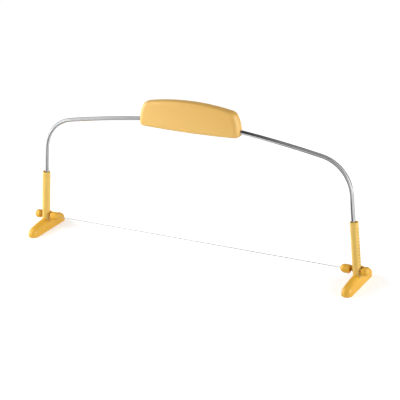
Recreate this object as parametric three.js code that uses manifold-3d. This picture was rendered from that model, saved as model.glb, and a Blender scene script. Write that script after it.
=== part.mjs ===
// Cake leveler: a sprung bow of steel rod with a moulded grip, two notched posts on loaf-shaped
// feet, and a taut cutting wire held by two hooks that slide along the posts.
// Millimetres, +Z up. X runs along the wire, Y from the front to the back. The origin is on the
// table, midway between the feet.

import * as THREE from 'three';
import { mergeVertices } from 'three/addons/utils/BufferGeometryUtils.js';
import Module from 'manifold-3d';

const { degToRad } = THREE.MathUtils;

// Fits shared by all pieces
const CLEARANCE = 0.3;
const OVERRUN = 1;

// Bow rod. Heights along a leg are measured from the table on the leg's own axis, and the rod
// stands a little inward of that axis.
const LEG_SPREAD = 169.9;
const LEG_TILT = degToRad(4.5);
const ROD_DIAMETER = 4;
const ROD_OFFSET = 0.6;
const ROD_INSERT = 42;
const BEND_START = 88.2;
const BEND_RADIUS = 36;
const ARM_OUTER_SLOPE = degToRad(10.45);
const ARM_INNER_SLOPE = degToRad(6.4);

// Notched posts
const POST_DIAMETER = 8;
const POST_TOP = 62.5;
const POST_EDGE = 0.5;
const POST_MOUTH_DIAMETER = 6.2;
const POST_MOUTH_DEPTH = 1.6;
const POST_SEAT = 8.6;
const SPIGOT_DIAMETER = 5.4;
const SPIGOT_LENGTH = 4.6;
const NOTCH_PITCH = 3.175;
const NOTCH_STEPS = 13;
const NOTCH_DEPTH = 0.8;
const NOTCH_FLOOR = 0.9;
const NOTCH_MOUTH = 2;

// Feet
const FOOT_LENGTH = 58.4;
const FOOT_WIDTH = 10.4;
const FOOT_HEIGHT = 12.6;
const FOOT_SIDE = 3.7;
const FOOT_EDGE = 0.8;
const FOOT_CROWN_FALL = 4.8;
const FOOT_NOSE_DROP = 1.4;

// Cutting wire and its crimped ends
const WIRE_HEIGHT = 15.4;
const WIRE_DIAMETER = 0.5;
const FERRULE_DIAMETER = 2.6;
const FERRULE_LENGTH = 2.2;
const WIRE_STUB = 0.4;

// Wire hooks. Reaches are measured from the axis of the post.
const HOOK_INNER_REACH = 16.4;
const HOOK_OUTER_REACH = 12.1;
const KNOB_DIAMETER = 8.4;
const KNOB_EDGE = 0.7;
const KNOB_GAP = 2.5;
const INNER_NOSE = 5;
const OUTER_NOSE = 3.2;
const TIP_WALL = 1.6;
const COLLAR_HEIGHT = 5;
const COLLAR_WALL = 2;
const COLLAR_LIP = 2.6;
const LINK_FRONT = 1.9;
const LINK_OVERLAP = 0.8;

// Grip
const GRIP_HALF_LENGTH = 53;
const GRIP_THICKNESS = 15.2;
const GRIP_ABOVE_ROD = 19.7;
const GRIP_BELOW_ROD = 9.2;
const GRIP_CORNER = 3.6;
const GRIP_EDGE = 2.6;
const GRIP_TOP_EDGE = 4.6;
const GRIP_PILLOW = 0.8;
const GRIP_TOP_DRAFT = 1.5;
const GRIP_END_LEAN = 4.9;
const GRIP_END_BOW = 3.5;
const GRIP_TOP_FALL = 6.1;
const GRIP_BOTTOM_RISE = 1.3;
const GRIP_WALL = 2.2;
const RIB_THICKNESS = 1.8;
const RIB_SHARES = [-0.74, -0.25, 0.25, 0.74];

// Grip screws
const SCREW_SPREAD = 26;
const SCREW_ABOVE_ROD = 8.4;
const SCREW_DIAMETER = 3;
const SCREW_LENGTH = 7.6;
const SCREW_HEAD_DIAMETER = 6;
const SCREW_HEAD_HEIGHT = 2.2;
const SCREW_SINK = 1.6;
const SCREW_CROSS_WIDTH = 0.9;
const SCREW_CROSS_LENGTH = 3.6;
const SCREW_CROSS_DEPTH = 1.3;
const BOSS_WALL = 2;

// Facets round a full circle, and steps along curves
const ROD_SIDES = 16;
const POST_SIDES = 32;
const KNOB_SIDES = 28;
const SMALL_SIDES = 20;
const WIRE_SIDES = 8;
const BEND_STEPS = 10;
const ARM_STEPS = 6;
const GRIP_ROD_STEPS = 10;
const NOSE_STEPS = 6;
const CROWN_STEPS = 10;
const LOAF_STEPS = 8;
const CORNER_STEPS = 4;
const GRIP_LONG_STEPS = 8;
const GRIP_END_STEPS = 3;
const EDGE_STEPS = 4;
const GRIP_EDGE_STEPS = 3;
const GRIP_FACE_SHARE = 0.55;

// Sizes that follow from the ones above
const ROD_RADIUS = ROD_DIAMETER / 2;
const POST_RADIUS = POST_DIAMETER / 2;
const KNOB_RADIUS = KNOB_DIAMETER / 2;
const RACK_START = WIRE_HEIGHT / Math.cos(LEG_TILT);
const WIRE_AXIS_X = LEG_SPREAD - WIRE_HEIGHT * Math.tan(LEG_TILT);
const FOOT_AXIS_X = LEG_SPREAD - FOOT_HEIGHT * Math.tan(LEG_TILT);
const LEG_LEAN = Math.sin(LEG_TILT);
const LEG_RISE = Math.cos(LEG_TILT);
const SLIDE_RADIUS = POST_RADIUS + CLEARANCE;
const UNHOOK_SHIFT = NOTCH_DEPTH;
const COLLAR_RADIUS = SLIDE_RADIUS + UNHOOK_SHIFT / 2 + COLLAR_WALL;
const KNOB_FACE = POST_RADIUS + KNOB_GAP;
const GRIP_HALF_HEIGHT = (GRIP_ABOVE_ROD + GRIP_BELOW_ROD) / 2;

const materials = {
  grip: new THREE.MeshStandardMaterial({ color: '#eec170', roughness: 0.45, metalness: 0 }),
  post: new THREE.MeshStandardMaterial({ color: '#eec372', roughness: 0.42, metalness: 0 }),
  foot: new THREE.MeshStandardMaterial({ color: '#e9ab3c', roughness: 0.45, metalness: 0 }),
  hook: new THREE.MeshStandardMaterial({ color: '#e6a53a', roughness: 0.42, metalness: 0 }),
  chrome: new THREE.MeshStandardMaterial({ color: '#d9dadc', roughness: 0.12, metalness: 1 }),
  wire: new THREE.MeshStandardMaterial({ color: '#c4c6c8', roughness: 0.3, metalness: 1 }),
  screw: new THREE.MeshStandardMaterial({ color: '#b9bbbe', roughness: 0.35, metalness: 1 }),
};

const wasm = await Module();
wasm.setup();

// A closed geometry as a solid that can be cut and joined. Triangles that shrink to a line where
// a surface closes on itself are left out.
function toSolid(geometry) {
  geometry.deleteAttribute('normal');
  geometry.deleteAttribute('uv');
  const merged = mergeVertices(geometry);
  const index = merged.getIndex().array;
  const kept = [];
  for (let i = 0; i < index.length; i += 3) {
    const [a, b, c] = [index[i], index[i + 1], index[i + 2]];
    if (a !== b && b !== c && c !== a) kept.push(a, b, c);
  }
  return new wasm.Manifold(new wasm.Mesh({
    numProp: 3,
    vertProperties: new Float32Array(merged.getAttribute('position').array),
    triVerts: new Uint32Array(kept),
  }));
}

function toGeometry(solid) {
  const mesh = solid.getMesh();
  const geometry = new THREE.BufferGeometry();
  geometry.setAttribute('position', new THREE.BufferAttribute(new Float32Array(mesh.vertProperties), 3));
  geometry.setIndex(new THREE.BufferAttribute(new Uint32Array(mesh.triVerts), 1));
  geometry.computeVertexNormals();
  return geometry;
}

// The same shape on the other side of the YZ plane.
function mirrored(geometry) {
  const copy = geometry.clone();
  copy.scale(-1, 1, 1);
  const index = copy.getIndex();
  for (let i = 0; i < index.count; i += 3) {
    const first = index.getX(i);
    index.setX(i, index.getX(i + 1));
    index.setX(i + 1, first);
  }
  copy.computeVertexNormals();
  return copy;
}

function joined(solids) {
  return solids.reduce((sum, solid) => sum.add(solid));
}

function cut(solid, cutters) {
  return cutters.reduce((rest, cutter) => rest.subtract(cutter), solid);
}

// A block between two opposite corners.
function block([x0, y0, z0], [x1, y1, z1]) {
  const geometry = new THREE.BoxGeometry(x1 - x0, y1 - y0, z1 - z0);
  geometry.translate((x0 + x1) / 2, (y0 + y1) / 2, (z0 + z1) / 2);
  return toSolid(geometry);
}

// A round bar along X, Y or Z between two places on that axis.
function bar(axis, radius, from, to, sides) {
  const geometry = new THREE.CylinderGeometry(radius, radius, to - from, sides);
  geometry.translate(0, (from + to) / 2, 0);
  if (axis === 'x') geometry.rotateZ(-Math.PI / 2);
  if (axis === 'z') geometry.rotateX(Math.PI / 2);
  return geometry;
}

// A body of revolution. Its profile holds pairs of radius and place along the axis.
function revolved(profile, axis, sides) {
  const points = profile.map(([radius, along]) => new THREE.Vector2(radius, along));
  const geometry = new THREE.LatheGeometry(points, sides);
  if (axis === 'x') geometry.rotateZ(-Math.PI / 2);
  if (axis === 'z') geometry.rotateX(Math.PI / 2);
  return geometry;
}

// An outline in X and Z, run along Y between two places.
function runAlongY(outline, from, to) {
  const shape = new THREE.Shape(outline.map(([x, z]) => new THREE.Vector2(x, z)));
  const geometry = new THREE.ExtrudeGeometry(shape, { depth: to - from, bevelEnabled: false });
  geometry.rotateX(Math.PI / 2);
  geometry.translate(0, to, 0);
  return geometry;
}

// A skin over a row of rings with equally many points, closed by a fan at each end.
function lofted(rings) {
  const size = rings[0].length;
  const positions = rings.flat();
  const index = [];
  for (let r = 0; r < rings.length - 1; r += 1) {
    for (let p = 0; p < size; p += 1) {
      const a = r * size + p;
      const b = r * size + (p + 1) % size;
      index.push(a, b, b + size, a, b + size, a + size);
    }
  }
  const last = (rings.length - 1) * size;
  for (let p = 1; p < size - 1; p += 1) {
    index.push(0, p + 1, p);
    index.push(last, last + p, last + p + 1);
  }
  const geometry = new THREE.BufferGeometry().setFromPoints(positions);
  geometry.setIndex(index);
  return geometry;
}

// A quarter of an ellipse from the end of its first half axis to the end of its second.
function quarter(steps, map) {
  const points = [];
  for (let i = 0; i <= steps; i += 1) {
    const angle = (i / steps) * (Math.PI / 2);
    points.push(map(Math.cos(angle), Math.sin(angle)));
  }
  return points;
}

// An arc in the XZ plane, with its angles measured from +X towards +Z.
class BowArc extends THREE.Curve {
  constructor(centreX, centreZ, radius, from, to) {
    super();
    Object.assign(this, { centreX, centreZ, radius, from, to });
  }

  getPoint(t) {
    const angle = this.from + (this.to - this.from) * t;
    const x = this.centreX + this.radius * Math.cos(angle);
    const z = this.centreZ + this.radius * Math.sin(angle);
    return new THREE.Vector3(x, 0, z);
  }
}

// A row of curves, each cut in its own number of steps, so that straight runs take one step and
// tight bends take many.
class SteppedPath extends THREE.Curve {
  constructor(runs) {
    super();
    this.runs = runs;
    this.steps = runs.reduce((sum, run) => sum + run.steps, 0);
  }

  locate(t) {
    let place = t * this.steps;
    for (const run of this.runs) {
      if (place <= run.steps) return [run, place / run.steps];
      place -= run.steps;
    }
    return [this.runs.at(-1), 1];
  }

  getPoint(t) {
    const [run, share] = this.locate(t);
    return run.curve.getPoint(share);
  }

  getTangent(t) {
    const [run, share] = this.locate(t);
    return run.curve.getTangent(Math.min(share, 1));
  }

  getUtoTmapping(u) {
    return u;
  }
}

// A point on the rod's axis beside a leg, at a height measured along the leg.
function onRod(side, height) {
  const x = LEG_SPREAD - LEG_LEAN * height - LEG_RISE * ROD_OFFSET;
  const z = LEG_RISE * height - LEG_LEAN * ROD_OFFSET;
  return new THREE.Vector3(side * x, 0, z);
}

// The arcs of the bow on the right side: the shoulder bend, the long arm, and the flat arc inside
// the grip, each tangent to the next.
function bowArcs() {
  const shoulder = onRod(1, BEND_START);
  const bendX = shoulder.x - BEND_RADIUS * Math.cos(LEG_TILT);
  const bendZ = shoulder.z - BEND_RADIUS * Math.sin(LEG_TILT);
  const outer = Math.PI / 2 - ARM_OUTER_SLOPE;
  const inner = Math.PI / 2 - ARM_INNER_SLOPE;
  const armStartX = bendX + BEND_RADIUS * Math.cos(outer);
  const armStartZ = bendZ + BEND_RADIUS * Math.sin(outer);
  const armRadius = (armStartX - GRIP_HALF_LENGTH) / (Math.cos(outer) - Math.cos(inner));
  const armX = armStartX - armRadius * Math.cos(outer);
  const armZ = armStartZ - armRadius * Math.sin(outer);
  const gripRadius = GRIP_HALF_LENGTH / Math.cos(inner);
  const gripZ = armZ + (armRadius - gripRadius) * Math.sin(inner);
  return {
    bend: [bendX, bendZ, BEND_RADIUS, LEG_TILT, outer],
    arm: [armX, armZ, armRadius, outer, inner],
    grip: [0, gripZ, gripRadius, inner, Math.PI - inner],
  };
}

const arcs = bowArcs();
const GRIP_ROD_HEIGHT = arcs.grip[1] + arcs.grip[2];

// The whole path of the rod, from its right end to its left end.
function bowPath() {
  const flipped = ([x, z, radius, from, to]) => [-x, z, radius, Math.PI - to, Math.PI - from];
  const end = POST_TOP - ROD_INSERT;
  return new SteppedPath([
    { curve: new THREE.LineCurve3(onRod(1, end), onRod(1, BEND_START)), steps: 1 },
    { curve: new BowArc(...arcs.bend), steps: BEND_STEPS },
    { curve: new BowArc(...arcs.arm), steps: ARM_STEPS },
    { curve: new BowArc(...arcs.grip), steps: GRIP_ROD_STEPS },
    { curve: new BowArc(...flipped(arcs.arm)), steps: ARM_STEPS },
    { curve: new BowArc(...flipped(arcs.bend)), steps: BEND_STEPS },
    { curve: new THREE.LineCurve3(onRod(-1, BEND_START), onRod(-1, end)), steps: 1 },
  ]);
}

function bowRod(radius) {
  const path = bowPath();
  const shape = new THREE.Shape();
  for (let i = 0; i < ROD_SIDES; i += 1) {
    const angle = (i / ROD_SIDES) * 2 * Math.PI;
    const place = [radius * Math.cos(angle), radius * Math.sin(angle)];
    if (i === 0) shape.moveTo(...place);
    else shape.lineTo(...place);
  }
  shape.closePath();
  return toSolid(new THREE.ExtrudeGeometry(shape, { steps: path.steps, extrudePath: path }));
}

// One post along its own axis, with the rack on its outer side, which is +X here. The rod's bore
// lies off centre, away from the rack, under a wider mouth.
function notchedPost() {
  const spigot = SPIGOT_DIAMETER / 2;
  const spigotEnd = POST_SEAT - SPIGOT_LENGTH;
  const stem = revolved([
    [0, spigotEnd],
    [spigot - POST_EDGE, spigotEnd],
    [spigot, spigotEnd + POST_EDGE],
    [spigot, POST_SEAT],
    [POST_RADIUS, POST_SEAT],
    [POST_RADIUS, POST_TOP - POST_EDGE],
    [POST_RADIUS - POST_EDGE, POST_TOP],
    [0, POST_TOP],
  ], 'z', POST_SIDES);
  const above = POST_TOP + OVERRUN;
  const boreFloor = POST_TOP - ROD_INSERT - CLEARANCE;
  const bore = bar('z', ROD_RADIUS + CLEARANCE, boreFloor, above, SMALL_SIDES);
  bore.translate(-ROD_OFFSET, 0, 0);
  const mouth = bar('z', POST_MOUTH_DIAMETER / 2, POST_TOP - POST_MOUTH_DEPTH, above, POST_SIDES);
  const flare = (NOTCH_MOUTH - NOTCH_FLOOR) / 2 * ((NOTCH_DEPTH + OVERRUN) / NOTCH_DEPTH);
  const notches = [];
  for (let i = 0; i <= NOTCH_STEPS; i += 1) {
    const height = RACK_START + i * NOTCH_PITCH;
    notches.push(toSolid(runAlongY([
      [POST_RADIUS - NOTCH_DEPTH, height - NOTCH_FLOOR / 2],
      [POST_RADIUS + OVERRUN, height - NOTCH_FLOOR / 2 - flare],
      [POST_RADIUS + OVERRUN, height + NOTCH_FLOOR / 2 + flare],
      [POST_RADIUS - NOTCH_DEPTH, height + NOTCH_FLOOR / 2],
    ], -POST_RADIUS, POST_RADIUS)));
  }
  return toGeometry(cut(toSolid(stem), [toSolid(bore), toSolid(mouth), ...notches]));
}

// One ring of the foot: a flat sole, short upright sides and an elliptical crown.
function footRing(y, halfWidth, height) {
  const edge = Math.min(FOOT_EDGE, halfWidth);
  const crown = height - FOOT_SIDE;
  const right = [[halfWidth - edge, 0], [halfWidth, edge]];
  const over = [];
  for (let i = 0; i <= CROWN_STEPS; i += 1) {
    const angle = (i / CROWN_STEPS) * Math.PI;
    over.push([halfWidth * Math.cos(angle), FOOT_SIDE + crown * Math.sin(angle)]);
  }
  const left = [[-halfWidth, edge], [edge - halfWidth, 0]];
  return [...right, ...over, ...left].map(([x, z]) => new THREE.Vector3(x, y, z));
}

// One foot at the bottom of the right leg, with its socket bored along the leaning leg. Its rings
// run from the back tip to the front tip.
function foot() {
  const halfWidth = FOOT_WIDTH / 2;
  const straight = FOOT_LENGTH / 2 - halfWidth;
  const heightAt = (y) => FOOT_HEIGHT - FOOT_CROWN_FALL * (y / (FOOT_LENGTH / 2)) ** 2;
  const nose = (side) => quarter(NOSE_STEPS, (along, across) => {
    const y = side * (straight + halfWidth * across);
    return footRing(y, halfWidth * along, heightAt(y) - FOOT_NOSE_DROP * (1 - along));
  });
  const middle = [];
  for (let i = 1; i < LOAF_STEPS; i += 1) {
    const y = straight * (1 - 2 * (i / LOAF_STEPS));
    middle.push(footRing(y, halfWidth, heightAt(y)));
  }
  const loaf = lofted([...nose(1).reverse(), ...middle, ...nose(-1)]);
  loaf.translate(FOOT_AXIS_X - LEG_SPREAD, 0, 0);
  const post = bar('z', POST_RADIUS + CLEARANCE, POST_SEAT - CLEARANCE, FOOT_HEIGHT + OVERRUN, POST_SIDES);
  const spigotFloor = POST_SEAT - SPIGOT_LENGTH - CLEARANCE;
  const spigot = bar('z', SPIGOT_DIAMETER / 2 + CLEARANCE, spigotFloor, POST_SEAT, POST_SIDES);
  post.rotateY(-LEG_TILT);
  spigot.rotateY(-LEG_TILT);
  return toGeometry(cut(toSolid(loaf), [toSolid(post), toSolid(spigot)]));
}

// The bullet on the wire's side of a right hook, pointing at the middle of the wire.
function innerKnob() {
  const tip = -HOOK_INNER_REACH;
  const nose = quarter(NOSE_STEPS, (along, across) => [
    KNOB_RADIUS * across,
    tip + INNER_NOSE * (1 - along),
  ]);
  return toSolid(revolved([
    ...nose,
    [KNOB_RADIUS, -KNOB_FACE - KNOB_EDGE],
    [KNOB_RADIUS - KNOB_EDGE, -KNOB_FACE],
    [0, -KNOB_FACE],
  ], 'x', KNOB_SIDES));
}

// The finger end on the outer side of a right hook.
function outerKnob() {
  const tip = HOOK_OUTER_REACH;
  const face = SLIDE_RADIUS + UNHOOK_SHIFT;
  const nose = quarter(NOSE_STEPS, (along, across) => [
    KNOB_RADIUS * along,
    tip - OUTER_NOSE * (1 - across),
  ]);
  return toSolid(revolved([
    [0, face],
    [KNOB_RADIUS - KNOB_EDGE, face],
    [KNOB_RADIUS, face + KNOB_EDGE],
    ...nose,
  ], 'x', KNOB_SIDES));
}

// The collar that passes behind the post, open to the front, with room on its outer side to
// lift the tooth out of the rack.
function hookCollar() {
  const half = COLLAR_HEIGHT / 2;
  const disc = bar('z', COLLAR_RADIUS, -half, half, POST_SIDES);
  disc.translate(UNHOOK_SHIFT / 2, 0, 0);
  const far = COLLAR_RADIUS + UNHOOK_SHIFT + OVERRUN;
  const open = block([-far, -far, -far], [far, -COLLAR_LIP, far]);
  const openInner = block([-far, -far, -far], [0, LINK_FRONT, far]);
  return cut(toSolid(disc), [open, openInner]);
}

// The way of the post through the hook: two bars side by side with a block between them.
function slideWay() {
  const far = KNOB_DIAMETER;
  const near = bar('z', SLIDE_RADIUS, -far, far, POST_SIDES);
  const lifted = bar('z', SLIDE_RADIUS, -far, far, POST_SIDES);
  lifted.translate(UNHOOK_SHIFT, 0, 0);
  const between = block([0, -SLIDE_RADIUS, -far], [UNHOOK_SHIFT, SLIDE_RADIUS, far]);
  return joined([toSolid(near), toSolid(lifted), between]);
}

// The tooth that drops into a notch, as wide as the notch's floor and drawn just clear of the rack.
function hookTooth() {
  const tip = SLIDE_RADIUS;
  const root = SLIDE_RADIUS + UNHOOK_SHIFT + COLLAR_WALL / 2;
  const tipHalf = NOTCH_FLOOR / 2 - CLEARANCE / 2;
  const rootHalf = tipHalf + (NOTCH_MOUTH - NOTCH_FLOOR) / 2 * ((root - tip) / NOTCH_DEPTH);
  const floor = POST_RADIUS - NOTCH_DEPTH;
  const halfWidth = Math.sqrt(POST_RADIUS ** 2 - floor ** 2);
  const outline = [[tip, -tipHalf], [root, -rootHalf], [root, rootHalf], [tip, tipHalf]];
  return toSolid(runAlongY(outline, -halfWidth, halfWidth));
}

// One hook for the right post, drawn round the point where the wire's line meets the post's axis.
function wireHook() {
  const linkFrom = -KNOB_FACE - LINK_OVERLAP;
  const linkTop = COLLAR_HEIGHT / 2;
  const linkBack = Math.sqrt(KNOB_RADIUS ** 2 - linkTop ** 2);
  const link = block([linkFrom, LINK_FRONT, -linkTop], [-POST_RADIUS, linkBack + LINK_OVERLAP, linkTop]);
  const leaned = (solid) => {
    const geometry = toGeometry(solid);
    geometry.rotateY(-LEG_TILT);
    return toSolid(geometry);
  };
  const body = joined([innerKnob(), outerKnob(), leaned(hookCollar()), link]);
  const pocketFrom = TIP_WALL - HOOK_INNER_REACH;
  const pocketTo = OVERRUN - KNOB_FACE;
  const pocket = bar('x', FERRULE_DIAMETER / 2 + CLEARANCE, pocketFrom, pocketTo, SMALL_SIDES);
  const wireFrom = -HOOK_INNER_REACH - OVERRUN;
  const wireTo = pocketFrom + OVERRUN;
  const wireWay = bar('x', WIRE_DIAMETER / 2 + CLEARANCE, wireFrom, wireTo, SMALL_SIDES);
  const open = cut(body, [leaned(slideWay()), toSolid(pocket), toSolid(wireWay)]);
  return toGeometry(open.add(leaned(hookTooth())));
}

// Where the right ferrule stops: just inside the pocket's front wall.
const FERRULE_END = WIRE_AXIS_X - HOOK_INNER_REACH + TIP_WALL + CLEARANCE;

function wireFerrule() {
  const outer = FERRULE_DIAMETER / 2;
  const inner = WIRE_DIAMETER / 2 + CLEARANCE;
  return toGeometry(toSolid(revolved([
    [inner, 0],
    [outer, 0],
    [outer, FERRULE_LENGTH],
    [inner, FERRULE_LENGTH],
    [inner, 0],
  ], 'x', SMALL_SIDES)));
}

function cuttingWire() {
  const end = FERRULE_END + FERRULE_LENGTH + WIRE_STUB;
  return toGeometry(toSolid(bar('x', WIRE_DIAMETER / 2, -end, end, WIRE_SIDES)));
}

// The grip's outline as seen from the front, drawn in by a margin: a rounded rectangle whose sides
// are cut in steps, so that they can bend.
function gripOutline(inset, margin) {
  const halfLength = GRIP_HALF_LENGTH - inset - margin;
  const halfHeight = GRIP_HALF_HEIGHT - inset - margin;
  const radius = Math.max(GRIP_CORNER - inset - margin, CLEARANCE);
  const corners = [[1, 1], [-1, 1], [-1, -1], [1, -1]].map(([sideX, sideZ], turn) => {
    const points = [];
    for (let i = 0; i <= CORNER_STEPS; i += 1) {
      const angle = (turn + i / CORNER_STEPS) * (Math.PI / 2);
      points.push([
        sideX * (halfLength - radius) + radius * Math.cos(angle),
        sideZ * (halfHeight - radius) + radius * Math.sin(angle),
      ]);
    }
    return points;
  });
  return corners.flatMap((corner, turn) => {
    const from = corner.at(-1);
    const to = corners[(turn + 1) % corners.length][0];
    const steps = turn % 2 ? GRIP_END_STEPS : GRIP_LONG_STEPS;
    const side = [];
    for (let i = 1; i < steps; i += 1) {
      side.push(from.map((start, axis) => start + (to[axis] - start) * (i / steps)));
    }
    return [...corner, ...side];
  });
}

// The loaf of the grip, drawn in all round by an inset, as outlines stacked from the back to the
// front. Its top and bottom are crowned along the length, its ends are bowed in plan and lean in
// towards the top, its sides are a little pillowed and draw together towards the top, and its
// edges are rounded over, the top ones more.
function gripLoaf(inset) {
  const middle = GRIP_ROD_HEIGHT + (GRIP_ABOVE_ROD - GRIP_BELOW_ROD) / 2;
  const halfThickness = GRIP_THICKNESS / 2 - inset;
  const edge = Math.max(GRIP_EDGE - inset, CLEARANCE);
  const face = halfThickness - GRIP_PILLOW;
  const edgeSteps = inset ? 1 : GRIP_EDGE_STEPS;
  const place = ([x, height], y) => {
    const upShare = (height + GRIP_HALF_HEIGHT) / (2 * GRIP_HALF_HEIGHT);
    const lean = GRIP_END_LEAN * upShare ** 2;
    const bow = GRIP_END_BOW * (y / (GRIP_THICKNESS / 2)) ** 2;
    const reach = x * (1 - (lean + bow) / GRIP_HALF_LENGTH);
    const crown = height > 0 ? -GRIP_TOP_FALL : -GRIP_BOTTOM_RISE;
    const rise = crown * (height / GRIP_HALF_HEIGHT) * (reach / GRIP_HALF_LENGTH) ** 2;
    const draft = GRIP_TOP_DRAFT * upShare ** 2;
    return new THREE.Vector3(reach, y * (1 - draft / halfThickness), middle + height + rise);
  };
  const ring = (roundShare) => {
    const topFall = (GRIP_TOP_EDGE - GRIP_EDGE) * roundShare;
    return gripOutline(inset, edge * roundShare).map(([x, height]) => (
      [x, height > 0 ? height * (1 - topFall / GRIP_HALF_HEIGHT) : height]
    ));
  };
  const half = (side) => {
    const pillow = ring(1).map(([x, height]) => (
      place([x * GRIP_FACE_SHARE, height * GRIP_FACE_SHARE], side * halfThickness)
    ));
    const rounding = quarter(edgeSteps, (outShare, inShare) => (
      ring(1 - inShare).map((point) => place(point, side * (face - edge * (1 - outShare))))
    ));
    return [pillow, ...rounding];
  };
  const waist = ring(0).map((point) => place(point, 0));
  return toSolid(lofted([...half(1), waist, ...half(-1).reverse()]));
}

const SCREW_HEIGHT = GRIP_ROD_HEIGHT + SCREW_ABOVE_ROD;
const SCREW_SEAT = GRIP_THICKNESS / 2 - SCREW_SINK - SCREW_HEAD_HEIGHT;

// A round bar along Y at one of the two screw places.
function screwBar(side, radius, from, to) {
  const geometry = bar('y', radius, from, to, SMALL_SIDES);
  geometry.translate(side * SCREW_SPREAD, 0, SCREW_HEIGHT);
  return toSolid(geometry);
}

// The front and rear halves of the grip: two shells with ribs that cradle the rod and bosses for
// the screws, parted on the plane of the bow.
function gripShells() {
  const loaf = gripLoaf(0);
  const wall = loaf.subtract(gripLoaf(GRIP_WALL));
  const far = GRIP_HALF_LENGTH + GRIP_ABOVE_ROD;
  const top = GRIP_ROD_HEIGHT + far;
  const bottom = GRIP_ROD_HEIGHT - far;
  const ribs = RIB_SHARES.map((share) => {
    const x = share * GRIP_HALF_LENGTH;
    return block([x - RIB_THICKNESS / 2, -far, bottom], [x + RIB_THICKNESS / 2, far, top]);
  });
  const clear = SCREW_DIAMETER / 2 + CLEARANCE;
  const bosses = [-1, 1].map((side) => screwBar(side, clear + BOSS_WALL, -far, far));
  const inside = joined([...ribs, ...bosses]).intersect(loaf);
  const rodWay = bowRod(ROD_RADIUS + CLEARANCE);
  const whole = wall.add(inside).subtract(rodWay);
  const parting = CLEARANCE / 2;
  const front = whole.subtract(block([-far, -parting, bottom], [far, far, top]));
  const rear = whole.subtract(block([-far, -far, bottom], [far, parting, top]));
  const screwEnd = SCREW_SEAT - SCREW_LENGTH - CLEARANCE;
  const headRadius = SCREW_HEAD_DIAMETER / 2 + CLEARANCE;
  return {
    front: toGeometry(cut(front, [-1, 1].map((side) => screwBar(side, clear, screwEnd, far)))),
    rear: toGeometry(cut(rear, [-1, 1].flatMap((side) => [
      screwBar(side, clear, -far, far),
      screwBar(side, headRadius, SCREW_SEAT - CLEARANCE, far),
    ]))),
  };
}

// One grip screw with a pan head and a cross recess, its tip towards the front.
function gripScrew() {
  const shank = SCREW_DIAMETER / 2;
  const head = SCREW_HEAD_DIAMETER / 2;
  const top = SCREW_HEAD_HEIGHT;
  const tip = -SCREW_LENGTH;
  const dome = quarter(EDGE_STEPS, (along, across) => [
    head * along,
    top / 2 + (top / 2) * across,
  ]);
  const solid = toSolid(revolved([
    [0, tip],
    [shank / 2, tip],
    [shank, tip + shank],
    [shank, 0],
    [head, 0],
    ...dome,
  ], 'y', SMALL_SIDES));
  const long = SCREW_CROSS_LENGTH / 2;
  const thin = SCREW_CROSS_WIDTH / 2;
  const floor = top - SCREW_CROSS_DEPTH;
  const across = block([-long, floor, -thin], [long, top + OVERRUN, thin]);
  const upright = block([-thin, floor, -long], [thin, top + OVERRUN, long]);
  return toGeometry(cut(solid, [across, upright]));
}

function piece(name, geometry, material) {
  const mesh = new THREE.Mesh(geometry, material.clone());
  mesh.name = name;
  return mesh;
}

const leveler = new THREE.Group();
leveler.add(piece('bow_rod', toGeometry(bowRod(ROD_RADIUS)), materials.chrome));

const shells = gripShells();
leveler.add(piece('handle_front_shell', shells.front, materials.grip));
leveler.add(piece('handle_rear_shell', shells.rear, materials.grip));

const shapes = {
  post: notchedPost(),
  foot: foot(),
  hook: wireHook(),
  ferrule: wireFerrule(),
  screw: gripScrew(),
};

for (const [name, side] of [['right', 1], ['left', -1]]) {
  const handed = (geometry) => (side > 0 ? geometry : mirrored(geometry));

  const leg = new THREE.Group();
  leg.position.set(side * LEG_SPREAD, 0, 0);
  leg.rotation.y = -side * LEG_TILT;
  leg.add(piece(`notched_post_${name}`, handed(shapes.post), materials.post));
  leveler.add(leg);

  const footPiece = piece(`foot_${name}`, handed(shapes.foot), materials.foot);
  footPiece.position.set(side * LEG_SPREAD, 0, 0);
  leveler.add(footPiece);

  const hook = piece(`wire_hook_${name}`, handed(shapes.hook), materials.hook);
  hook.position.set(side * WIRE_AXIS_X, 0, WIRE_HEIGHT);
  leveler.add(hook);

  const ferrule = piece(`wire_ferrule_${name}`, handed(shapes.ferrule), materials.wire);
  ferrule.position.set(side * FERRULE_END, 0, WIRE_HEIGHT);
  leveler.add(ferrule);

  const screw = piece(`handle_screw_${name}`, shapes.screw, materials.screw);
  screw.position.set(side * SCREW_SPREAD, SCREW_SEAT, SCREW_HEIGHT);
  leveler.add(screw);
}

const wire = piece('cutting_wire', cuttingWire(), materials.wire);
wire.position.set(0, 0, WIRE_HEIGHT);
leveler.add(wire);

export default leveler;
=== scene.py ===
# Looks of the cake leveler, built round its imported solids, in their frame: X along the wire,
# Y from front to back, Z up from the table. A length is written as millimetres times MM, in metres.

import math

import bmesh
import bpy
from mathutils import Matrix, Vector


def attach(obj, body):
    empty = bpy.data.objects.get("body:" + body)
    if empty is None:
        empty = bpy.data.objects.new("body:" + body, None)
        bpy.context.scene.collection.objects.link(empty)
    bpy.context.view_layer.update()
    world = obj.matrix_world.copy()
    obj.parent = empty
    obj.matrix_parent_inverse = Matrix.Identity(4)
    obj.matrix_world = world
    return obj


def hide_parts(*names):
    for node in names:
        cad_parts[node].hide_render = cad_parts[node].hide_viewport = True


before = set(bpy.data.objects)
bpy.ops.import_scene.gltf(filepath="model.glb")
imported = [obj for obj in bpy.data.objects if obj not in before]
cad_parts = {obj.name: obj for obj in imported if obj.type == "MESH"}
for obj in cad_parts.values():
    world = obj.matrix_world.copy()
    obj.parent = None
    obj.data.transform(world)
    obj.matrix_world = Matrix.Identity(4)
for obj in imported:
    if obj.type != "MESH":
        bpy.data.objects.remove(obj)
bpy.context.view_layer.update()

MM = 0.001

# The room between two pieces that fit into one another
FIT = 0.3 * MM

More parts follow.
